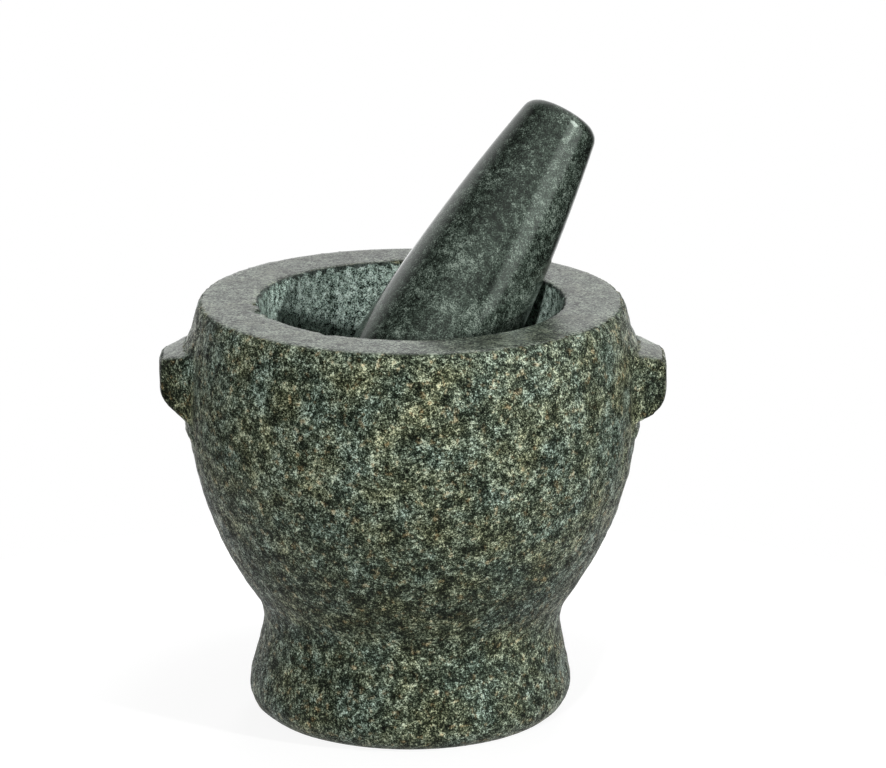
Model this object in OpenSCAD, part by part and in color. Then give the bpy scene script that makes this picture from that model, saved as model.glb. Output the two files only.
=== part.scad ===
// Granite grinding bowl with two carved lugs, and the tapered pestle that leans in it.
// Millimetres, +Z up. The origin is the centre of the face that the bowl stands on,
// and the lugs point along +X and -X.

/* [Bowl outside] */
// Height of the rim above the standing face
bowl_h = 138.5; // [124:0.5:160]
// Widest diameter of the foot
foot_d = 106; // [98:1:118]
// Rounding under the foot
foot_edge = 9.5; // [4:0.5:12]
// Diameter at the narrowest part of the waist
waist_d = 97; // [86:1:102]
// Height of the narrowest part of the waist
waist_z = 32; // [28:1:42]
// Radius of the hollow curve at the waist
waist_hollow = 15; // [8:1:18]
// Widest diameter of the belly
belly_d = 147; // [136:1:168]
// Height of the widest part of the belly
belly_z = 107; // [96:1:116]
// Rounding of the rim's outer edge
rim_edge = 2; // [1:0.5:5]

/* [Bowl inside] */
// Diameter of the mouth
mouth_d = 98.5; // [92:0.5:110]
// Depth of the hollow below the rim
bowl_depth = 90; // [76:1:98]
// Radius of the round floor of the hollow
floor_r = 48; // [42:1:49]
// Rounding of the rim's inner edge
lip_edge = 0.8; // [0.4:0.2:3]

/* [Lugs] */
// How far a lug stands out from the wall
lug_reach = 9.6; // [6:0.2:16]
// Depth of a lug's top below the rim, measured at the wall
lug_drop = 16; // [10:0.5:22]
// How far a lug's top falls from the wall to its outer face
lug_fall = 2.5; // [0:0.5:5]
// Height of a lug's upright outer face
lug_face = 12.5; // [8:0.5:18]
// Height of a lug's sloping underside, measured from its outer face to the wall
lug_under = 8; // [5:0.5:14]
// Rounding between a lug's outer face and its underside
lug_curve = 7; // [3:0.5:10]
// Width of a lug at the wall
lug_root_w = 33; // [24:1:44]
// Width of a lug at its outer face
lug_tip_w = 17; // [12:1:30]
// Rounding of the edge round a lug's top
lug_edge = 2; // [0.5:0.5:3]
// Rounding of a lug's upright corners
lug_corner = 4; // [1:0.5:6]

/* [Pestle] */
// Length over both ends
pestle_len = 161; // [145:1:185]
// Diameter of the grinding end
pestle_d = 51; // [42:1:58]
// Diameter of the grip at its top
grip_d = 25.5; // [20:0.5:34]
// Rise of the domed top
grip_dome = 2; // [1:0.5:4]
// Rounding between the grip and its domed top
grip_edge = 5; // [1:0.5:6]

/* [Pestle at rest] */
// Direction in which the pestle leans, counter-clockwise from +X
lean_azimuth = 38.5; // [0:0.5:359]
// How far round the floor the grinding end stands from the lowest point
floor_angle = 59; // [30:1:68]
// Clearance at the two places where the pestle rests on the bowl
seat_gap = 0.2; // [0.1:0.05:0.3]

/* [Hidden] */
stone = "#4a554e";
polished_stone = "#37423d";
// Largest turn of an outline from one point to the next, in degrees
arc_step = 3;
// Same for the pestle's long flank, which bends much less
flank_step = 0.5;

// Plane geometry that the outlines share
function unit(v) = v / norm(v);
function heading(v) = atan2(v[1], v[0]);
function polar(r, a) = r * [cos(a), sin(a)];
function arc(c, r, from, to, step = arc_step) =
    let (n = max(1, ceil(abs(to - from) / step)))
    [for (i = [0 : n]) c + polar(r, from + (to - from) * i / n)];

// Round corner at p between the directions of a and b: its centre, then its points
function corner_centre(a, p, b, r) =
    let (u = unit(a - p), v = unit(b - p))
    p + unit(u + v) * r / sin(acos(u * v) / 2);
function round_corner(a, p, b, r) =
    let (
        c = corner_centre(a, p, b, r),
        reach = r / tan(acos(unit(a - p) * unit(b - p)) / 2),
        from = heading(p + unit(a - p) * reach - c),
        to = heading(p + unit(b - p) * reach - c),
        turn = (to - from + 540) % 360 - 180
    )
    arc(c, r, from, from + turn);

// Crossing of two circles that lies to the right of the line from c1 to c2
function circles_meet(c1, r1, c2, r2) =
    let (
        d = norm(c2 - c1),
        along = (d * d + r1 * r1 - r2 * r2) / (2 * d),
        aside = sqrt(r1 * r1 - along * along),
        u = unit(c2 - c1)
    )
    c1 + along * u + aside * [u[1], -u[0]];

// Bowl: centres and angles of the curves of its turned outline, in radius and height
foot_c = [foot_d / 2 - foot_edge, foot_edge];
waist_c = [waist_d / 2 + waist_hollow, waist_z];
// The belly is the arc that is upright at its widest and runs smoothly into the waist
belly_run = waist_c[0] - belly_d / 2;
belly_rise = belly_z - waist_z;
belly_r = (belly_run ^ 2 + belly_rise ^ 2 - waist_hollow ^ 2) / (2 * (waist_hollow - belly_run));
belly_c = [belly_d / 2 - belly_r, belly_z];
// The side of the foot is the straight line that touches both the foot's edge and the waist
foot_lean = heading(waist_c - foot_c) - acos((foot_edge + waist_hollow) / norm(waist_c - foot_c));
waist_end = heading(belly_c - waist_c);
rim_c = [
    belly_c[0] + sqrt((belly_r - rim_edge) ^ 2 - (bowl_h - rim_edge - belly_z) ^ 2),
    bowl_h - rim_edge
];
rim_start = heading(rim_c - belly_c);
rim_flat = [rim_c[0], bowl_h];

// Hollow: a round floor, and a wall that runs straight from it to the mouth
mouth = [mouth_d / 2, bowl_h];
floor_c = [0, bowl_h - bowl_depth + floor_r];
wall_start = heading(mouth - floor_c) - acos(floor_r / norm(mouth - floor_c));
wall_foot = floor_c + polar(floor_r, wall_start);
lip_c = corner_centre(rim_flat, mouth, wall_foot, lip_edge);

// Lugs: heights of the section that is left standing on the wall
function wall_r(z) = belly_c[0] + sqrt(belly_r ^ 2 - (z - belly_z) ^ 2);
lug_top = bowl_h - lug_drop;
lug_wall_r = wall_r(lug_top);
lug_r = lug_wall_r + lug_reach;
lug_shoulder = lug_top - lug_fall;
lug_low = lug_shoulder - lug_face;
// The lug's section and plan start at this radius, in the middle of the wall
lug_root = (mouth_d / 2 + lug_wall_r) / 2;
lug_depth = lug_r - lug_root;
lug_taper = (lug_root_w - lug_tip_w) / 2 / lug_reach;

// Pestle: its grinding end is half a ball, and its own origin is that ball's centre
ball_r = pestle_d / 2;
grip_r = grip_d / 2;
shank = pestle_len - ball_r;
grip_z = shank - grip_dome;
flank_r = (grip_z ^ 2 + (ball_r - grip_r) ^ 2) / (2 * (ball_r - grip_r));
flank_c = [ball_r - flank_r, 0];
dome_r = (grip_r ^ 2 + grip_dome ^ 2) / (2 * grip_dome);
dome_c = [0, shank - dome_r];
grip_edge_c = circles_meet(dome_c, dome_r - grip_edge, flank_c, flank_r - grip_edge);

// Rest: in the upright plane of the lean the ball stands against the floor opposite the lean,
// and the pestle tips over until its flank reaches the rounded lip
ball_c = floor_c - polar(floor_r - ball_r - seat_gap, 90 - floor_angle);
to_lip = lip_c - ball_c;
flank_reach = flank_r + lip_edge + seat_gap;
flank_swing = flank_r - ball_r;
lean = acos((flank_reach ^ 2 - flank_swing ^ 2 - to_lip * to_lip) / (2 * flank_swing * norm(to_lip)))
    - heading(to_lip);

// Half section of the bowl, from the middle of the standing face round to the hollow's floor
function bowl_outline() = concat(
    [[0, 0]],
    arc(foot_c, foot_edge, -90, foot_lean),
    arc(waist_c, waist_hollow, 180 + foot_lean, waist_end),
    arc(belly_c, belly_r, waist_end - 180, rim_start),
    arc(rim_c, rim_edge, rim_start, 90),
    round_corner(rim_flat, mouth, wall_foot, lip_edge),
    arc(floor_c, floor_r, wall_start, -90)
);

// Half section of the ring from which the lugs are left standing
function lug_section() =
    let (
        top_root = [lug_root, lug_shoulder + lug_fall * lug_depth / lug_reach],
        shoulder = [lug_r, lug_shoulder],
        low = [lug_r, lug_low],
        under_root = [lug_root, lug_low - lug_under * lug_depth / lug_reach]
    )
    concat(
        [top_root],
        round_corner(top_root, shoulder, low, lug_edge),
        round_corner(shoulder, low, under_root, lug_curve),
        [under_root]
    );

// Plan of one lug, on +X: it narrows evenly from the wall to its outer face
function lug_plan() =
    let (
        end = lug_r + lug_edge,
        root_half = lug_tip_w / 2 + lug_taper * lug_depth,
        tip_half = lug_tip_w / 2 - lug_taper * lug_edge,
        low = [[lug_root, -root_half], [end, -tip_half]],
        high = [[end, tip_half], [lug_root, root_half]]
    )
    concat(
        [low[0]],
        round_corner(low[0], low[1], high[0], lug_corner),
        round_corner(low[1], high[0], high[1], lug_corner),
        [high[1]]
    );

// Half section of the pestle, from the tip of the ball to the top of the dome
function pestle_outline() = concat(
    arc([0, 0], ball_r, -90, 0),
    arc(flank_c, flank_r, 0, heading(grip_edge_c - flank_c), flank_step),
    arc(grip_edge_c, grip_edge, heading(grip_edge_c - flank_c), heading(grip_edge_c - dome_c)),
    arc(dome_c, dome_r, heading(grip_edge_c - dome_c), 90)
);

module lugs() {
    intersection() {
        rotate_extrude($fn = 96) polygon(lug_section());
        for (turn = [0, 180])
            rotate([0, 0, turn])
                linear_extrude(bowl_h) polygon(lug_plan());
    }
}

module mortar() {
    color(stone)
        union() {
            rotate_extrude($fn = 96) polygon(bowl_outline());
            lugs();
        }
}

module pestle() {
    color(polished_stone)
        rotate([0, 0, lean_azimuth])
            translate([ball_c[0], 0, ball_c[1]])
                rotate([0, lean, 0])
                    rotate_extrude($fn = 96) polygon(pestle_outline());
}

mortar();
pestle();
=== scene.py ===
# %% [markdown]
# A granite mortar and pestle
#
# The object is two stones: a turned mortar with two lugs, and a loose pestle that leans in it. The packed
# CAD model gives both shapes to the millimetre, so this lesson starts from those solids and works on them
# as a mason would: rub the edges, leave the tool's wander on the wall, chip the rim, and then look for the
# colours and finishes of the stone.

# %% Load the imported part
import math

import bpy
import numpy as np
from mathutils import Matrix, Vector, noise


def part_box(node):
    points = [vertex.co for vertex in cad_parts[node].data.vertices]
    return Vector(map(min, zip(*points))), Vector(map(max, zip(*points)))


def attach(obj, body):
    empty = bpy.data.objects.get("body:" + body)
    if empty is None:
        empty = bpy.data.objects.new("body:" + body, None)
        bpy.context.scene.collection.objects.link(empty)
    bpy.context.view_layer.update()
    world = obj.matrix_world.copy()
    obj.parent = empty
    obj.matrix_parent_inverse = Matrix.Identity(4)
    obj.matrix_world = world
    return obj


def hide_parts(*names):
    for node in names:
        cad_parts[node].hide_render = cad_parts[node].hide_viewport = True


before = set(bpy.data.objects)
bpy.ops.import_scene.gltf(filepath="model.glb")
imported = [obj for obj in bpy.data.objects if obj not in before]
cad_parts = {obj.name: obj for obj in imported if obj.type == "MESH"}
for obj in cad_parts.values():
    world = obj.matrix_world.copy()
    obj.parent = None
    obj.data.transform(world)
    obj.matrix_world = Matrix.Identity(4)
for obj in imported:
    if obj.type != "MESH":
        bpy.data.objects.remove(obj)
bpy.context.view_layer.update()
scene = bpy.context.scene
MM = 0.001

# %% [markdown]
# Even faces to work on
#
# A CAD mesh has long thin triangles, which can't carry a dent or a chip. One could subdivide them, but the
# triangles would stay thin. A voxel remesh gives faces of one size all over instead, and where a lug meets
# the wall it leaves one skin, as in the real block of stone. A little smoothing then rubs down the edges and
# leaves the small fillet that a grinding wheel leaves in each corner. The mortar's faces are just large
# enough to keep it under 200,000 triangles, because the export thins out a piece that has more.

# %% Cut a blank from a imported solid
def cut_blank(node, name, face_mm, rubs):
    """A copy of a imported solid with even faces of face_mm, rubbed down a few times."""
    rough = bpy.data.objects.new(name + "_rough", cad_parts[node].data.copy())
    scene.collection.objects.link(rough)
    even = rough.modifiers.new("even faces", "REMESH")
    even.mode = "VOXEL"
    even.voxel_size = face_mm * MM
    rubbing = rough.modifiers.new("rubbed edges", "SMOOTH")
    rubbing.factor = 0.5
    rubbing.iterations = rubs
    shaped = rough.evaluated_get(bpy.context.evaluated_depsgraph_get())
    mesh = bpy.data.meshes.new_from_object(shaped)
    bpy.data.objects.remove(rough)
    mesh.name = name
    mesh.materials.clear()
    mesh.polygons.foreach_set("use_smooth", [True] * len(mesh.polygons))
    blank = bpy.data.objects.new(name, mesh)
    scene.collection.objects.link(blank)
    return blank


mortar = cut_blank("mortar", "mortar_stone", face_mm=1.19, rubs=3)
pestle = cut_blank("pestle", "pestle_stone", face_mm=0.8, rubs=4)
print("faces:", len(mortar.data.polygons), "on the mortar,", len(pestle.data.polygons), "on the pestle")

# %% [markdown]
# Points to work on
#
# The pestle was turned and polished true, and it stays as it is. The mortar was worked by hand. Sculpting it
# by hand can't be repeated, so its points go into numpy arrays, where one line of arithmetic moves them all.
# Two small helpers read the points and their outward directions and make a straight ramp between two values,
# which is enough for every step below.

# %% Points and their directions
def points_of(piece):
    """The points of a piece in mm, and their outward directions."""
    count = len(piece.data.vertices)
    at = np.empty(count * 3, np.float32)
    piece.data.vertices.foreach_get("co", at)
    outward = np.empty(count * 3, np.float32)
    piece.data.vertex_normals.foreach_get("vector", outward)
    return at.reshape(-1, 3).astype(float) / MM, outward.reshape(-1, 3).astype(float)


def ramp(value, low, high):
    """0 below low, 1 above high, and a straight rise between them."""
    return np.clip((value - low) / (high - low), 0, 1)


place, out = points_of(mortar)
x, y, z = place.T
radius = np.hypot(x, y)
rim_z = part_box("mortar")[1].z / MM
print(f"the rim is {rim_z:.1f} mm above the floor, and {len(place)} points can be worked")

# %% [markdown]
# Where each finish lies
#
# The mason worked the one block in three ways. The outside was turned and dressed, so it stays a little
# rough. The rim and the tops of the lugs were honed flat on a wheel. The hollow was ground out. Here each
# finish is first found from the shape: the honed faces look up, and the hollow is what lies inside the mouth.

# %% Honed, ground and dressed
# The hollow's sizes in the drawing, in mm
MOUTH_R = 49.25
FLOOR_R = 48.0
HOLLOW_DEPTH = 90.0
# The ground skin ends just outside the mouth, on the lip
HOLLOW_R = MOUTH_R + 2
# A face that looks up is a lug's top outside this radius and between these heights
LUG_INNER_R = 70
LUG_TOP_LOW_Z = rim_z - 22
LUG_TOP_HIGH_Z = rim_z - 8

floor_centre_z = rim_z - HOLLOW_DEPTH + FLOOR_R
# From the axis on the hollow's wall, and from the centre of its round floor below that
from_axis = np.hypot(radius, np.minimum(z - floor_centre_z, 0))
facing_up = ramp(out[:, 2], 0.72, 0.95)
rim_share = facing_up * ramp(z, rim_z - 1.6, rim_z - 0.6)
lug_share = facing_up * (radius > LUG_INNER_R) * (z > LUG_TOP_LOW_Z) * (z < LUG_TOP_HIGH_Z)
hollow_share = (from_axis < HOLLOW_R) * (1 - rim_share)
dressed_share = 1 - np.maximum(np.maximum(rim_share, lug_share), hollow_share)
for finish, share in (("rim", rim_share), ("lug tops", lug_share), ("hollow", hollow_share)):
    print(f"{finish}: {np.mean(share > 0.5):.1%} of the points")

# %% [markdown]
# The hand of the mason
#
# A lathe and a grinding wheel leave a stone nearly round, with slow waves a few centimetres long and small
# dents a few millimetres wide. A displacement modifier could make them, but it would treat every surface in
# the same way. Moving the points in numpy lets each finish have its own depth: the dressed wall gets the
# waves and the dents, the hollow a little, and the honed rim nothing. The noise has no random start, so every
# run gives the same stone.

# %% Waves and dents
# Depth and size of each kind in mm, and where in the noise it starts
LONG_WAVES = (0.35, 42, 3.1)
SHORT_WAVES = (0.18, 13, 7.7)
BROAD_DENTS = (0.22, 4.5, 11.3)
SMALL_DENTS = (0.14, 2.6, 17.4)
GRINDER_WAVES = (0.15, 8, 5.2)


def lumps(size_mm, start):
    """Smooth noise between about -1 and 1 at the mortar's points, with lumps of about size_mm."""
    return np.array([noise.noise(Vector(p)) for p in place / size_mm + start])


def relief(*kinds):
    """Waves or dents of several kinds, added up, in mm."""
    return sum(depth * lumps(size, start) for depth, size, start in kinds)


waves = relief(LONG_WAVES, SHORT_WAVES)
dents = relief(BROAD_DENTS, SMALL_DENTS)
lift = dressed_share * (waves + dents) + hollow_share * relief(GRINDER_WAVES)
# The face that the mortar stands on stays flat
lift *= ramp(z, 0.3, 3.0)
print(f"the wall wanders from {lift.min():.2f} to {lift.max():.2f} mm")

# %% [markdown]
# Chips
#
# Granite doesn't bend: where a tool or a pestle knocks an edge, a flake jumps off. Both edges of the rim have
# such chips. Noise makes the many small ones, and a short list puts the few large ones where the real rim
# has them, each as a shallow bowl in the surface.

# %% Small chips on the edges of the rim
CHIP_MM = 3.6
CHIP_START = 21.9
OUTER_CHIP_DEPTH = 0.9
INNER_CHIP_DEPTH = 0.45
MID_RIM_R = 60
near_edge = ramp(z, rim_z - 3.2, rim_z - 1.0) * (1 - rim_share)
edge_depth = np.where(radius > MID_RIM_R, OUTER_CHIP_DEPTH, INNER_CHIP_DEPTH)
small_chips = edge_depth * near_edge * ramp(lumps(CHIP_MM, CHIP_START), 0.25, 0.75)
lift -= small_chips
print(f"small chips up to {small_chips.max():.1f} mm deep")

# %% Large chips
# Direction in degrees from +X, and distance from the axis, width and depth in mm
CHIPS = ((197, 49.6, 2.4, 1.5), (205, 49.8, 1.8, 1.0), (186, 49.6, 1.7, 0.9), (238, 49.6, 1.8, 0.8),
         (296, 70.5, 2.6, 0.9), (318, 70.5, 3.0, 1.0), (214, 70.5, 2.4, 0.8), (262, 70.5, 2.0, 0.7),
         (95, 49.6, 2.2, 0.9), (12, 70.5, 2.4, 0.8))
for turn, chip_r, size, depth in CHIPS:
    angle = math.radians(turn)
    centre = np.array([chip_r * math.cos(angle), chip_r * math.sin(angle), rim_z])
    away = np.linalg.norm(place - centre, axis=1) / size
    lift -= depth * np.exp(-away ** 2)
print(len(CHIPS), "large chips")

# %% [markdown]
# The lugs
#
# A chisel can't reach into a corner, so a lug grows out of the wall in a soft curve, above and below. Its
# upper edge gets knocked as the rim does, and small flakes are gone from it. Both are again a lift of the
# points along their own directions.

# %% Soft roots and knocked edges
# Heights where a lug's underside and top meet the wall, and the half height and depth of the curve there
LUG_ROOTS_Z = (97, 124.5)
ROOT_MM = 2.5
ROOT_FILL = 1.1
# A lug stands further out than this, and its root ends between these distances to its sides
LUG_START_X = 66
LUG_SIDE_Y = (12, 18)
LUG_EDGE_R = 74
LUG_EDGE_LOW_Z = 112
FLAKE_MM = 3.0
FLAKE_START = 31.7
FLAKE_DEPTH = 1.0
at_lug = (np.abs(x) > LUG_START_X) * (1 - ramp(np.abs(y), *LUG_SIDE_Y))
roots = sum(np.exp(-((z - root_z) / ROOT_MM) ** 2) for root_z in LUG_ROOTS_Z)
lift += ROOT_FILL * at_lug * roots
lug_band = (radius > LUG_EDGE_R) * (z > LUG_EDGE_LOW_Z) * (z < LUG_TOP_HIGH_Z)
lug_edge = lug_band * ramp(out[:, 2], 0.2, 0.5) * (1 - lug_share)
flakes = FLAKE_DEPTH * lug_edge * ramp(lumps(FLAKE_MM, FLAKE_START), 0.0, 0.6)
lift -= flakes
worked = place + out * lift[:, None]
print(f"flakes up to {flakes.max():.1f} mm deep on the lugs")

# %% [markdown]
# Not quite true
#
# No hand-worked mortar is as true as its drawing. The foot of this one stands a little to one side of its
# belly, the right lug is a bit longer and hangs a bit lower than the left one, and the foot's lower edge is
# rounded more on the right. These are small moves of whole regions, so each one is a smooth weight times
# a distance in millimetres.

# %% Lean of the foot and the two lugs
# Heights, and how far to the right the outside stands there
WANDER = ((0, -0.3), (18, -0.3), (30, 0.0), (42, 0.55), (85, 0.55), (95, 0.35), (107, 0.35), (rim_z, 0.0))
# Moves of the right and of the left lug
LUG_LONGER = (0.7, 0.1)
LUG_LOWER = (1.7, 0.0)
LUG_TOP_RISE = 0.9
# Radii between which a lug leaves the wall, and its lowest height
LUG_ROOT_R = (73.8, 78.0)
LUG_LOW_Z = 96
outside = (from_axis > HOLLOW_R) & (z < rim_z - 1.5)
worked[:, 0] += outside * np.interp(z, *zip(*WANDER))
lug_weight = ramp(radius, *LUG_ROOT_R) * (z > LUG_LOW_Z)
# From the middle of a lug's face down
under_lug = lug_weight * ramp(-z, -113, -106)
worked[:, 0] += np.where(x > 0, *LUG_LONGER) * np.sign(x) * lug_weight
worked[:, 2] -= np.where(x > 0, *LUG_LOWER) * under_lug
worked[:, 2] += LUG_TOP_RISE * lug_share * (1 - ramp(radius, 73, 82))
reach_right, reach_left = worked[:, 0].max(), -worked[:, 0].min()
print(f"the lugs reach {reach_right:.1f} mm from the axis on the right, and {reach_left:.1f} mm on the left")

# %% The foot's lower edge
# How far the edge is pulled in on the right and on the left
FOOT_ROUNDER = (1.4, 0.6)
outward = place[:, :2] / np.maximum(radius, 1)[:, None]
low_edge = ramp(-z, -15, -2) ** 1.5 * ramp(radius, 36, 46)
pull = low_edge * np.where(x > 0, *FOOT_ROUNDER) * outward[:, 0] ** 2
worked[:, :2] -= outward * pull[:, None]
mortar.data.vertices.foreach_set("co", (worked * MM).astype(np.float32).ravel())
print(f"foot's edge pulled in by up to {pull.max():.1f} mm")

# %% [markdown]
# Where the finishes meet
#
# One could give each finish a material of its own, but then the line between two finishes follows the faces
# of the mesh and looks like stairs. So each point keeps two distances in mm instead: how deep it lies under
# the honed faces, and how far inside the mouth. The material compares them with a limit, and the line comes
# out as fine as the render. A chip lies deeper than the honed face, so it shows raw stone by itself.

# %% Keep the distances on the mesh
# A point beside a lug's top counts as this deep under it
BESIDE_LUG_TOP = 1.0
LIP_MM = 0.5
FURTHEST_MM = 5
under_honed = np.minimum(rim_z - worked[:, 2], BESIDE_LUG_TOP - lug_share)
inside_mouth = np.clip(MOUTH_R + LIP_MM - from_axis, -FURTHEST_MM, FURTHEST_MM)
for name, values in (("under_honed", under_honed), ("inside_mouth", inside_mouth)):
    layer = mortar.data.attributes.new(name, "FLOAT", "POINT")
    layer.data.foreach_set("value", values.astype(np.float32))
    print(f"{name}: from {values.min():.1f} to {values.max():.1f} mm")
mortar.data.update()

# %% [markdown]
# A function for colours and a function for nodes
#
# Colours are easiest to judge as hex values, as on a screen, but Blender mixes light in linear values, so
# one function turns the first into the second. Another adds one node with its settings and its links. That
# is enough to write any material as a short list of nodes. A third empties the tree that the nodes go into.

# %% Colours and nodes
def colour(hex_value):
    """An sRGB hex value as linear red, green, blue and alpha."""
    levels = [int(hex_value[i:i + 2], 16) / 255 for i in (1, 3, 5)]
    linear = [v / 12.92 if v <= 0.04045 else ((v + 0.055) / 1.055) ** 2.4 for v in levels]
    return (*linear, 1.0)


def add(tree, kind, settings=None, inputs=None, stops=None):
    """Adds one node. An input is a value, a socket or a node, which gives its first output that is in use.

    Stops are a colour ramp's places and hex values, from low to high.
    """
    node = tree.nodes.new("ShaderNode" + kind)
    for name, value in (settings or {}).items():
        setattr(node, name, value)
    for name, value in (inputs or {}).items():
        if isinstance(value, bpy.types.Node):
            value = next(socket for socket in value.outputs if socket.enabled)
        if isinstance(value, bpy.types.NodeSocket):
            tree.links.new(value, node.inputs[name])
        else:
            node.inputs[name].default_value = value
    for i, (at, hex_value) in enumerate(stops or []):
        stop = node.color_ramp.elements[i] if i < 2 else node.color_ramp.elements.new(at)
        stop.position = at
        stop.color = colour(hex_value)
    return node


def empty_tree(owner):
    """The node tree of a new material or world, with nothing in it."""
    owner.use_nodes = True
    owner.node_tree.nodes.clear()
    return owner.node_tree


print("a mid grey of #808080 is", round(colour("#808080")[0], 3), "in linear light")

# %% [markdown]
# Green granite, dressed, honed and ground
#
# Granite is a mosaic of minerals: black mica, dark green hornblende, grey feldspar and clear quartz. On this
# stone the grains are well under a millimetre. They gather in flecks of about one millimetre and in soft
# clusters of 2 to 6 mm. Voronoi cells would give each grain a hard edge, as in a terrazzo, so three noises
# are added instead: a slow one of many octaves for the clusters, one cut to a sharper edge for the flecks,
# and a quick one for the grains. All are laid out in the stone's own millimetres, so they move with it.

# %% Clusters, flecks and grains
CLUSTER_MM = 4.0
FLECK_MM = 1.0
GRAIN_MM = 0.42
granite = bpy.data.materials.new("green_granite_dressed_honed_ground")
tree = empty_tree(granite)
own_place = add(tree, "TexCoord").outputs["Object"]
mm = add(tree, "VectorMath", {"operation": "SCALE"}, {"Vector": own_place, "Scale": 1 / MM})
cluster = add(tree, "TexNoise", inputs={
    "Vector": mm, "Scale": 1 / CLUSTER_MM, "Detail": 5.0, "Roughness": 0.70})
fleck_noise = add(tree, "TexNoise", inputs={
    "Vector": mm, "Scale": 1 / FLECK_MM, "Detail": 2.0, "Roughness": 0.6})
flecks = add(tree, "MapRange", {"interpolation_type": "SMOOTHSTEP"}, {
    "Value": fleck_noise, "From Min": 0.44, "From Max": 0.62, "To Max": 0.12})
grains = add(tree, "TexNoise", inputs={"Vector": mm, "Scale": 1 / GRAIN_MM, "Detail": 1.0})
flecked = add(tree, "Math", {"operation": "ADD"}, {0: cluster, 1: flecks})
grainy = add(tree, "Math", {"operation": "MULTIPLY_ADD"}, {0: grains, 1: 0.9, 2: flecked})
print(f"granite grains of {GRAIN_MM} mm, flecks of {FLECK_MM} mm, clusters of {CLUSTER_MM} mm")

# %% [markdown]
# Painted shade on the lower stone and the lugs
#
# From the waist to the lower belly the stone is darkened as painted shade. The foot below is a bit paler
# again. The chiselled sides of the lugs are darkened by painted shade too. One could paint such regions
# by hand. Here each is a small step in the tone, worked out from the place on the stone, so the grain runs
# on through it. One ramp then names the minerals from dark to light.

# %% Painted shade at the waist and on the lugs
# Heights in mm between which the painted shade thins out, and the paler foot ends
SHADE_LOW_Z, SHADE_HIGH_Z = 50.0, 95.0
FOOT_LOW_Z, FOOT_HIGH_Z = 28.0, 52.0
# Painted shade at the waist, the foot's lift out of it, and painted shade on the sides of the lugs
LOW_SHADE_TONE = -0.070
FOOT_TONE = 0.038
LUG_SIDE_SHADE = -0.08
own = add(tree, "SeparateXYZ", inputs={"Vector": mm}).outputs
# Painted shade, darker from the lower belly down to the waist
painted_low_shade = add(tree, "MapRange", inputs={
    "Value": own["Z"], "From Min": SHADE_LOW_Z, "From Max": SHADE_HIGH_Z, "To Min": LOW_SHADE_TONE, "To Max": 0.0})
foot = add(tree, "MapRange", inputs={
    "Value": own["Z"], "From Min": FOOT_LOW_Z, "From Max": FOOT_HIGH_Z, "To Min": FOOT_TONE, "To Max": 0.0})
shade_by_height = add(tree, "Math", {"operation": "ADD"}, {0: painted_low_shade, 1: foot})
# Further out than the wall a point is on a lug, and away from its middle on a side with painted shade
aside_mm = add(tree, "Math", {"operation": "ABSOLUTE"}, {0: own["X"]})
along_mm = add(tree, "Math", {"operation": "ABSOLUTE"}, {0: own["Y"]})
on_lug = add(tree, "MapRange", inputs={"Value": aside_mm, "From Min": 74.0, "From Max": 76.0})
painted_lug_shade = add(tree, "MapRange", inputs={
    "Value": along_mm, "From Min": 3.0, "From Max": 9.0, "To Max": LUG_SIDE_SHADE})
# Both kinds of painted shade go into the stone's tone
painted_shade = add(tree, "Math", {"operation": "MULTIPLY_ADD"}, {0: on_lug, 1: painted_lug_shade, 2: shade_by_height})
tone = add(tree, "Math", {"operation": "ADD"}, {0: grainy, 1: painted_shade})
print(f"the tone steps by {LOW_SHADE_TONE} at the waist and by {LUG_SIDE_SHADE} on the sides of the lugs")

# %% Minerals from dark to light
level = add(tree, "MapRange", inputs={"Value": tone, "From Min": 0.685, "From Max": 1.29})
minerals = add(tree, "ValToRGB", inputs={"Fac": level}, stops=[
    (0.04, "#070906"), (0.20, "#151a13"), (0.35, "#292f27"), (0.50, "#454d41"),
    (0.67, "#727d6d"), (0.82, "#a0ab9b"), (0.97, "#dbe5d6")])
print(len(minerals.color_ramp.elements), "minerals")

# %% [markdown]
# Olive, blue and cream
#
# The green isn't even. Some clusters lean to a cool blue grey, some to olive, and here and there a soft patch
# of feldspar is cream or ochre. One noise picks the cream patches, which keep the grain because they are
# a second ramp of the same tone, and a slower one tints all of it.

# %% Tints and cream patches
TINT_MM = 14.0
CREAM_MM = 2.4
# The feldspar's noise is taken this far away in the stone, so that it isn't the clusters' own
ELSEWHERE = (130.0, 70.0, 20.0)
# A Mix node has sockets of one name for numbers and for colours, so they go by their places
SHARE = 0
COLOUR_A, COLOUR_B = 6, 7
cream = add(tree, "ValToRGB", inputs={"Fac": level}, stops=[
    (0.10, "#211d17"), (0.50, "#85785c"), (0.90, "#e4d8bd")])
elsewhere = add(tree, "VectorMath", {"operation": "ADD"}, {0: mm, 1: ELSEWHERE})
feldspar = add(tree, "TexNoise", inputs={"Vector": elsewhere, "Scale": 1 / CREAM_MM, "Detail": 2.0})
is_cream = add(tree, "MapRange", inputs={
    "Value": feldspar, "From Min": 0.60, "From Max": 0.72, "To Max": 0.85})
mixed = add(tree, "Mix", {"data_type": "RGBA"}, {SHARE: is_cream, COLOUR_A: minerals, COLOUR_B: cream})
tint = add(tree, "TexNoise", inputs={"Vector": mm, "Scale": 1 / TINT_MM, "Detail": 4.0, "Roughness": 0.65})
tint_colour = add(tree, "ValToRGB", inputs={"Fac": tint}, stops=[(0.38, "#e9f4f6"), (0.64, "#fdf5dc")])
stone = add(tree, "Mix", {"data_type": "RGBA", "blend_type": "MULTIPLY"}, {
    SHARE: 1.0, COLOUR_A: mixed, COLOUR_B: tint_colour})
print(f"cream patches of {CREAM_MM} mm, tints of {TINT_MM} mm")

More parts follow.
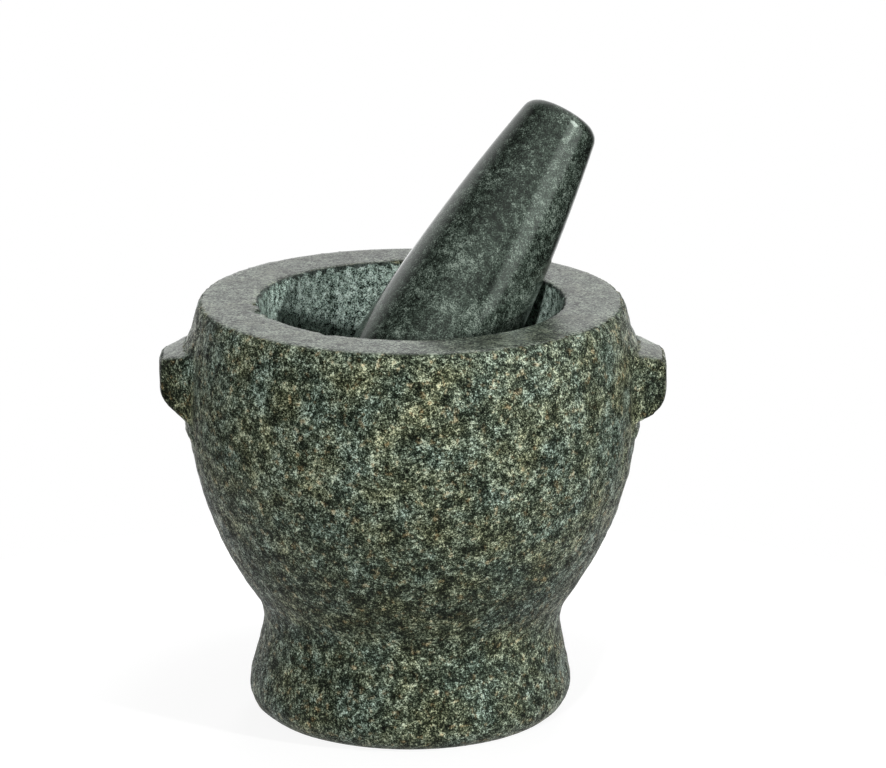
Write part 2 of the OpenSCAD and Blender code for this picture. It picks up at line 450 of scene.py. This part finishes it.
# %% [markdown]
# The ground hollow
#
# Grinding bruises the crystals, so they scatter more light: the hollow is paler and leans to mint, with dark
# mica between. The bruises are clumps of about 2 mm, a little longer up and down, as the strokes of the
# grinder were. Close under the lip a ragged band of painted shadow about 1.5 mm high stays dark.

# %% Mint stone in the hollow, and a band of painted shadow under the lip
BRUISE_MM = 2.0
# Squeezed along Z, so that the clumps come out longer up and down
STROKE = (1.0, 1.0, 0.85)
# The feldspar makes the band's lower edge ragged
RAGGED_LIP_MM = 7.0
strokes = add(tree, "VectorMath", {"operation": "MULTIPLY"}, {0: mm, 1: STROKE})
bruise = add(tree, "TexNoise", inputs={
    "Vector": strokes, "Scale": 1 / BRUISE_MM, "Detail": 4.0, "Roughness": 0.75})
bruised = add(tree, "Math", {"operation": "MULTIPLY_ADD"}, {0: grains, 1: 0.75, 2: bruise})
paleness = add(tree, "MapRange", inputs={"Value": bruised, "From Min": 0.64, "From Max": 1.11})
mint = add(tree, "ValToRGB", inputs={"Fac": paleness}, stops=[
    (0.08, "#0e130f"), (0.28, "#3f4b44"), (0.50, "#879a8f"), (0.72, "#bdd2c7"), (0.95, "#e8f7ef")])
# Painted shadow: a ragged dark band just under the lip
lip_height = add(tree, "Math", {"operation": "MULTIPLY_ADD"}, {0: feldspar, 1: RAGGED_LIP_MM, 2: own["Z"]})
painted_lip_shadow = add(tree, "MapRange", inputs={
    "Value": lip_height, "From Min": rim_z + 2.0, "From Max": rim_z + 2.8, "To Max": 0.85})
hollow = add(tree, "Mix", {"data_type": "RGBA"}, {
    SHARE: painted_lip_shadow, COLOUR_A: mint, COLOUR_B: colour("#171b17")})
inside = add(tree, "Attribute", {"attribute_name": "inside_mouth"}).outputs["Fac"]
is_hollow = add(tree, "MapRange", inputs={"Value": inside, "From Min": -0.7, "From Max": -0.4})
ground = add(tree, "Mix", {"data_type": "RGBA"}, {SHARE: is_hollow, COLOUR_A: stone, COLOUR_B: hollow})
print(f"bruises of {BRUISE_MM} mm in the hollow")

# %% [markdown]
# The honed rim
#
# A honing wheel takes the crumbs off, and the rim turns into a dull mirror. Its pale grey is the white room
# that it reflects: in front of the pestle, where it mirrors the dark pestle instead, the stone shows its own
# dark olive. So the colour here is dark, under a thin film of stone flour, and the next step adds the shine.
# What was deeper than the wheel's cut stays as a pit, which has no shine.

# %% Film and pits
# Both are really about half a millimetre wide, and drawn coarser so that they show along the rim
PIT_MM = 1.5
FILM_MM = 0.9
smear = add(tree, "TexNoise", inputs={"Vector": mm, "Scale": 1 / FILM_MM, "Detail": 3.0, "Roughness": 0.7})
smudge = add(tree, "Math", {"operation": "MULTIPLY_ADD"}, {0: cluster, 1: 0.6, 2: smear})
smudged = add(tree, "MapRange", inputs={"Value": smudge, "From Min": 0.57, "From Max": 1.03})
grey = add(tree, "ValToRGB", inputs={"Fac": smudged}, stops=[
    (0.15, "#171c15"), (0.50, "#5b675a"), (0.85, "#a9b4a0")])
stain = add(tree, "ValToRGB", inputs={"Fac": tint}, stops=[(0.46, "#ffffff"), (0.70, "#c9c4b6")])
film = add(tree, "Mix", {"data_type": "RGBA", "blend_type": "MULTIPLY"}, {
    SHARE: 1.0, COLOUR_A: grey, COLOUR_B: stain})
dips = add(tree, "TexNoise", inputs={"Vector": mm, "Scale": 1 / PIT_MM, "Detail": 2.0})
pits = add(tree, "MapRange", inputs={"Value": dips, "From Min": 0.575, "From Max": 0.65, "To Max": 0.85})
pitted = add(tree, "Mix", {"data_type": "RGBA"}, {SHARE: pits, COLOUR_A: film, COLOUR_B: colour("#1d1e1a")})
print(f"pits of {PIT_MM} mm and a film of {FILM_MM} mm on the rim")

# %% Where the honing ends
# The feldspar makes the line a little ragged
RAGGED_HONING_MM = 0.5
under = add(tree, "Attribute", {"attribute_name": "under_honed"}).outputs["Fac"]
ragged = add(tree, "Math", {"operation": "MULTIPLY_ADD"}, {0: feldspar, 1: RAGGED_HONING_MM, 2: under})
is_honed = add(tree, "MapRange", inputs={
    "Value": ragged, "From Min": 0.40, "From Max": 0.58, "To Min": 1.0, "To Max": 0.0})
finished = add(tree, "Mix", {"data_type": "RGBA"}, {SHARE: is_honed, COLOUR_A: ground, COLOUR_B: pitted})
print("the stone's colour takes", len(tree.nodes), "nodes")

# %% [markdown]
# Gloss and bumps
#
# Polished granite has an index of about 1.55, and the honed faces keep its full shine. That is a specular
# level of about 0.5, less where the film is dark and more where it is pale. A dressed face breaks its shine
# into crumbs, so the level is low there, and its crystals are glossier than the mica between them. The bumps
# are the tool's crumbs of about a millimetre, and the wheel took them off the rim.

# %% Roughness and shine
GRANITE_IOR = 1.55
MICA_ROUGHNESS = 0.75
CRYSTAL_ROUGHNESS = 0.2
HONED_ROUGHNESS = 0.24
DRESSED_SHINE = 0.12
DARK_FILM_SHINE = 0.15
PALE_FILM_SHINE = 0.85
# Places of a Mix node's sockets for numbers
NUMBER_A, NUMBER_B = 2, 3
wall_roughness = add(tree, "MapRange", inputs={
    "Value": level, "To Min": MICA_ROUGHNESS, "To Max": CRYSTAL_ROUGHNESS})
roughness = add(tree, "Mix", {"data_type": "FLOAT"}, {
    SHARE: is_honed, NUMBER_A: wall_roughness, NUMBER_B: HONED_ROUGHNESS})
polish = add(tree, "Math", {"operation": "SUBTRACT"}, {0: is_honed, 1: pits})
veil = add(tree, "MapRange", inputs={
    "Value": smudge, "From Min": 0.66, "From Max": 0.94,
    "To Min": DARK_FILM_SHINE, "To Max": PALE_FILM_SHINE})
gloss = add(tree, "MapRange", inputs={"Value": polish, "To Min": DRESSED_SHINE, "To Max": veil})
print(f"roughness {CRYSTAL_ROUGHNESS} to {MICA_ROUGHNESS} on the wall, {HONED_ROUGHNESS} on the rim")

# %% Bumps, and the finished stone
CRUMB_MM = 0.8
CRUMB_DEPTH = 0.4
DRESSED_BUMP = 0.6
HONED_BUMP = 0.04
crumbs = add(tree, "TexNoise", inputs={"Vector": mm, "Scale": 1 / CRUMB_MM, "Detail": 3.0})
bump_strength = add(tree, "MapRange", inputs={
    "Value": is_honed, "To Min": DRESSED_BUMP, "To Max": HONED_BUMP})
bumps = add(tree, "Bump", inputs={
    "Height": crumbs, "Strength": bump_strength, "Distance": CRUMB_DEPTH * MM})
shader = add(tree, "BsdfPrincipled", inputs={
    "Base Color": finished, "Roughness": roughness, "IOR": GRANITE_IOR, "Specular IOR Level": gloss,
    "Specular Tint": colour("#ebf6ed"), "Normal": bumps})
add(tree, "OutputMaterial", inputs={"Surface": shader})
mortar.data.materials.append(granite)
print("the mortar's stone has", len(tree.nodes), "nodes")

# %% [markdown]
# Polished granite
#
# The pestle is the same stone, polished until it shines. A polished stone is darker, because less light is
# scattered back from its skin, and its crystals look softer. So the clouds of crystals count for more here
# than on the mortar, and the roughness is low. The stone is a little darker towards its upper end.

# %% The grain of the pestle
CLOUD_MM = 2.4
PATCH_MM = 12.0
# Heights in mm between which the upper end darkens
GRIP_LOW_Z, GRIP_HIGH_Z = 166.0, 178.0
GRIP_TONE = -0.045
polished = bpy.data.materials.new("green_granite_polished")
tree = empty_tree(polished)
own_place = add(tree, "TexCoord").outputs["Object"]
mm = add(tree, "VectorMath", {"operation": "SCALE"}, {"Vector": own_place, "Scale": 1 / MM})
clouds = add(tree, "TexNoise", inputs={
    "Vector": mm, "Scale": 1 / CLOUD_MM, "Detail": 4.0, "Roughness": 0.75})
crystals = add(tree, "TexNoise", inputs={"Vector": mm, "Scale": 1 / GRAIN_MM, "Detail": 1.0})
patches = add(tree, "TexNoise", inputs={"Vector": mm, "Scale": 1 / PATCH_MM, "Detail": 1.0})
cloudy = add(tree, "Math", {"operation": "MULTIPLY_ADD"}, {0: patches, 1: 0.3, 2: clouds})
tone = add(tree, "Math", {"operation": "MULTIPLY_ADD"}, {0: crystals, 1: 0.85, 2: cloudy})
height = add(tree, "SeparateXYZ", inputs={"Vector": mm}).outputs["Z"]
grip = add(tree, "MapRange", inputs={
    "Value": height, "From Min": GRIP_LOW_Z, "From Max": GRIP_HIGH_Z, "To Max": GRIP_TONE})
darker_at_top = add(tree, "Math", {"operation": "ADD"}, {0: tone, 1: grip})
print(f"clouds of {CLOUD_MM} mm and patches of {PATCH_MM} mm on the pestle")

# %% The polish of the pestle
POLISHED_ROUGHNESS = 0.16
level = add(tree, "MapRange", inputs={"Value": darker_at_top, "From Min": 0.78, "From Max": 1.36})
minerals = add(tree, "ValToRGB", inputs={"Fac": level}, stops=[
    (0.06, "#080a08"), (0.30, "#1b211c"), (0.50, "#323c34"), (0.70, "#525e55"), (0.95, "#8b978c")])
shader = add(tree, "BsdfPrincipled", inputs={
    "Base Color": minerals, "Roughness": POLISHED_ROUGHNESS, "IOR": GRANITE_IOR,
    "Specular Tint": colour("#e6f5e9")})
add(tree, "OutputMaterial", inputs={"Surface": shader})
pestle.data.materials.append(polished)
print("the pestle's stone has", len(tree.nodes), "nodes")

# %% [markdown]
# Which body each stone moves with
#
# Each stone stands for one imported solid and moves with that solid's body.

# %% Ride and replace
for piece, node, slot in ((mortar, "mortar", "dressed_granite"), (pestle, "pestle", "polished_granite")):
    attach(piece, node)
    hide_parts(node)
    print(piece.name, "stands for", node, "in", slot)

# %% [markdown]
# A white studio
#
# The stone stands on a white floor, and the camera sees plain white round it. Reflections are choosier: they
# see a white backdrop behind the stone, a canopy above it and a bright table far behind, while the room in
# front stays dark. That puts the shine on the rim and along the edges, as in the photograph. One could build
# these as large planes. Here the world paints them from a ray's direction, which needs no further pieces.

# %% Backdrop, canopy and table
# A direction goes from -1 to 1: X to the right, Y away from the camera and Z up
world = bpy.data.worlds.new("white_studio")
scene.world = world
tree = empty_tree(world)
ray = add(tree, "SeparateXYZ", inputs={"Vector": add(tree, "TexCoord").outputs["Generated"]}).outputs
at_back = add(tree, "MapRange", inputs={
    "Value": ray["Y"], "From Min": 0.3, "From Max": 0.7, "To Min": 0.05, "To Max": 1.0})
not_low = add(tree, "MapRange", inputs={
    "Value": ray["Z"], "From Min": -0.3, "From Max": -0.05, "To Min": 0.05, "To Max": 1.0})
not_right = add(tree, "MapRange", inputs={
    "Value": ray["X"], "From Min": 0.4, "From Max": 0.7, "To Min": 1.0, "To Max": 0.3})
upper = add(tree, "Math", {"operation": "MULTIPLY"}, {0: at_back, 1: not_low})
backdrop = add(tree, "Math", {"operation": "MULTIPLY"}, {0: upper, 1: not_right})
overhead = add(tree, "MapRange", inputs={"Value": ray["Z"], "From Min": 0.3, "From Max": 0.6, "To Max": 0.85})
rightward = add(tree, "MapRange", inputs={"Value": ray["X"], "From Min": -0.6, "From Max": 0.0})
canopy = add(tree, "Math", {"operation": "MULTIPLY"}, {0: overhead, 1: rightward})
far_off = add(tree, "MapRange", inputs={"Value": ray["Y"], "From Min": 0.75, "From Max": 0.92, "To Max": 1.6})
raised = add(tree, "MapRange", inputs={"Value": ray["Z"], "From Min": -0.45, "From Max": -0.3})
not_high = add(tree, "MapRange", inputs={
    "Value": ray["Z"], "From Min": -0.06, "From Max": 0.02, "To Min": 1.0, "To Max": 0.0})
flat = add(tree, "Math", {"operation": "MULTIPLY"}, {0: raised, 1: not_high})
table = add(tree, "Math", {"operation": "MULTIPLY"}, {0: far_off, 1: flat})
sides = add(tree, "Math", {"operation": "MAXIMUM"}, {0: backdrop, 1: canopy})
sweep = add(tree, "Math", {"operation": "MAXIMUM"}, {0: sides, 1: table})
print("the room takes", len(tree.nodes), "nodes")

# %% [markdown]
# What each ray sees
#
# The camera sees plain white, and reflections see the room of the last step. The light that falls on the
# stone itself is only a dim sky, because the lamps below do the rest. Light Path tells the three apart.

# %% Sky
SKY_LEVEL = 0.13
path = add(tree, "LightPath").outputs
mirrored = add(tree, "Math", {"operation": "MAXIMUM"}, {
    0: path["Is Glossy Ray"], 1: path["Is Transmission Ray"]})
around = add(tree, "MapRange", inputs={"Value": mirrored, "To Min": SKY_LEVEL, "To Max": sweep})
brightness = add(tree, "Math", {"operation": "MAXIMUM"}, {0: path["Is Camera Ray"], 1: around})
sky = add(tree, "Background", inputs={"Color": colour("#ffffff"), "Strength": brightness})
add(tree, "OutputWorld", inputs={"Surface": sky})
print(f"the sky lights the stone at {SKY_LEVEL}")

# %% [markdown]
# The floor
#
# The floor is white paper. To the camera and to reflections it glows almost white, and towards its edge it
# turns fully white, so that it runs into the white world without a line. Under that glow it is a matt grey,
# which takes the stone's soft shadow and throws a little light back up.

# %% White paper
FLOOR_RADIUS = 0.22
FADE_START, FADE_END = 0.09, 0.2
NEAR_GLOW = 0.86
bpy.ops.mesh.primitive_circle_add(vertices=96, radius=FLOOR_RADIUS, fill_type="NGON")
floor = bpy.context.object
floor.name = "studio_floor"
paper = bpy.data.materials.new("white_paper_floor")
tree = empty_tree(paper)
matt = add(tree, "BsdfDiffuse", inputs={"Color": colour("#8c8c8c")})
path = add(tree, "LightPath").outputs
looked_at = add(tree, "Math", {"operation": "MAXIMUM"}, {0: path["Is Camera Ray"], 1: path["Is Glossy Ray"]})
white = add(tree, "Math", {"operation": "MAXIMUM"}, {0: looked_at, 1: path["Is Transmission Ray"]})
off_centre = add(tree, "VectorMath", {"operation": "LENGTH"}, {0: add(tree, "TexCoord").outputs["Object"]})
fade = add(tree, "MapRange", inputs={
    "Value": off_centre, "From Min": FADE_START, "From Max": FADE_END, "To Min": NEAR_GLOW, "To Max": 1.0})
glow_level = add(tree, "MapRange", inputs={"Value": white, "To Max": fade})
glow = add(tree, "Emission", inputs={"Color": colour("#ffffff"), "Strength": glow_level})
both = add(tree, "AddShader", inputs={0: matt, 1: glow})
add(tree, "OutputMaterial", inputs={"Surface": both})
floor.data.materials.append(paper)
print(f"a round floor of {2 * FLOOR_RADIUS} m")

# %% [markdown]
# Lamps
#
# The light in the hollow shows where the lamps stood: its left end is lit from the right, its back wall from
# the left front, and a dark crescent stays where the rim and the pestle hide both. So two soft boxes stand
# little higher than the camera, one at the left front and one at the right. They are small, because the edges
# of their shadows in the hollow are fairly sharp. Two weak ones behind and above keep the back and the floor
# of the hollow from turning black. None of these four shows in reflections. Two panels at the right show in
# reflections only: a broad one gives the long shine on the polished pestle, and a smaller one the bright spot
# on its grip.

# %% Soft boxes
def soft_box(name, stand, aim, size, watts):
    """A rectangular lamp of size (wide, high) in m that stands at one place and is turned to another."""
    lamp = bpy.data.lights.new(name, "AREA")
    lamp.shape = "RECTANGLE"
    lamp.size, lamp.size_y = size
    lamp.energy = watts
    box = bpy.data.objects.new(name, lamp)
    box.location = stand
    box.rotation_euler = (Vector(aim) - Vector(stand)).to_track_quat("-Z", "Y").to_euler()
    box.visible_camera = False
    scene.collection.objects.link(box)
    return box


BELLY = (0, 0, 0.08)
GRIP = (0.05, 0.03, 0.19)
KEY_SIZE = (0.11, 0.11)
lit_by = (soft_box("front_box", (-0.368, -1.66, 0.542), BELLY, KEY_SIZE, 18.0),
          soft_box("side_box", (1.44, -0.89, 0.60), BELLY, KEY_SIZE, 18.5),
          soft_box("back_box", (0.25, 1.45, 0.95), BELLY, (0.6, 0.6), 6),
          soft_box("top_box", (0.1, -0.1, 1.7), BELLY, (0.5, 0.5), 2.5))
mirrored_only = (soft_box("shine_panel", (1.2, -0.45, 0.6), BELLY, (0.8, 0.8), 4.5),
                 soft_box("shine_spot", (1.19, -0.34, 0.92), GRIP, (0.45, 0.5), 9))
for box in lit_by:
    box.visible_glossy = False
for box in mirrored_only:
    box.visible_diffuse = False
print(len(lit_by), "lamps and", len(mirrored_only), "panels")

# %% [markdown]
# The camera
#
# The photograph was taken with a long lens from about 2.2 m away, looking 16.6 degrees down. Those values
# were fitted to the outline of the bowl in the photograph.

# %% Camera
PICTURE_W = 886
FOCAL_PX = 6622
SENSOR_MM = 36
DISTANCE = 2.165
ELEVATION = math.radians(16.56)
# The middle of the picture lies this far to the right of the target and above it, in m
AIM_RIGHT = 0.01036
AIM_UP = 0.04346
target = Vector((0, 0, 0.065))
back = Vector((0, -math.cos(ELEVATION), math.sin(ELEVATION)))
right = Vector((1, 0, 0))
up = right.cross(-back)
aim = target + right * AIM_RIGHT + up * AIM_UP
lens = bpy.data.cameras.new("studio_camera")
lens.sensor_width = SENSOR_MM
lens.sensor_fit = "HORIZONTAL"
lens.lens = FOCAL_PX / PICTURE_W * SENSOR_MM
lens.clip_end = 50
camera = bpy.data.objects.new("studio_camera", lens)
camera.location = target + back * DISTANCE
camera.rotation_euler = (aim - camera.location).to_track_quat("-Z", "Y").to_euler()
scene.collection.objects.link(camera)
scene.camera = camera
scene.view_settings.view_transform = "Standard"
print(f"lens {lens.lens:.0f} mm at {DISTANCE} m")
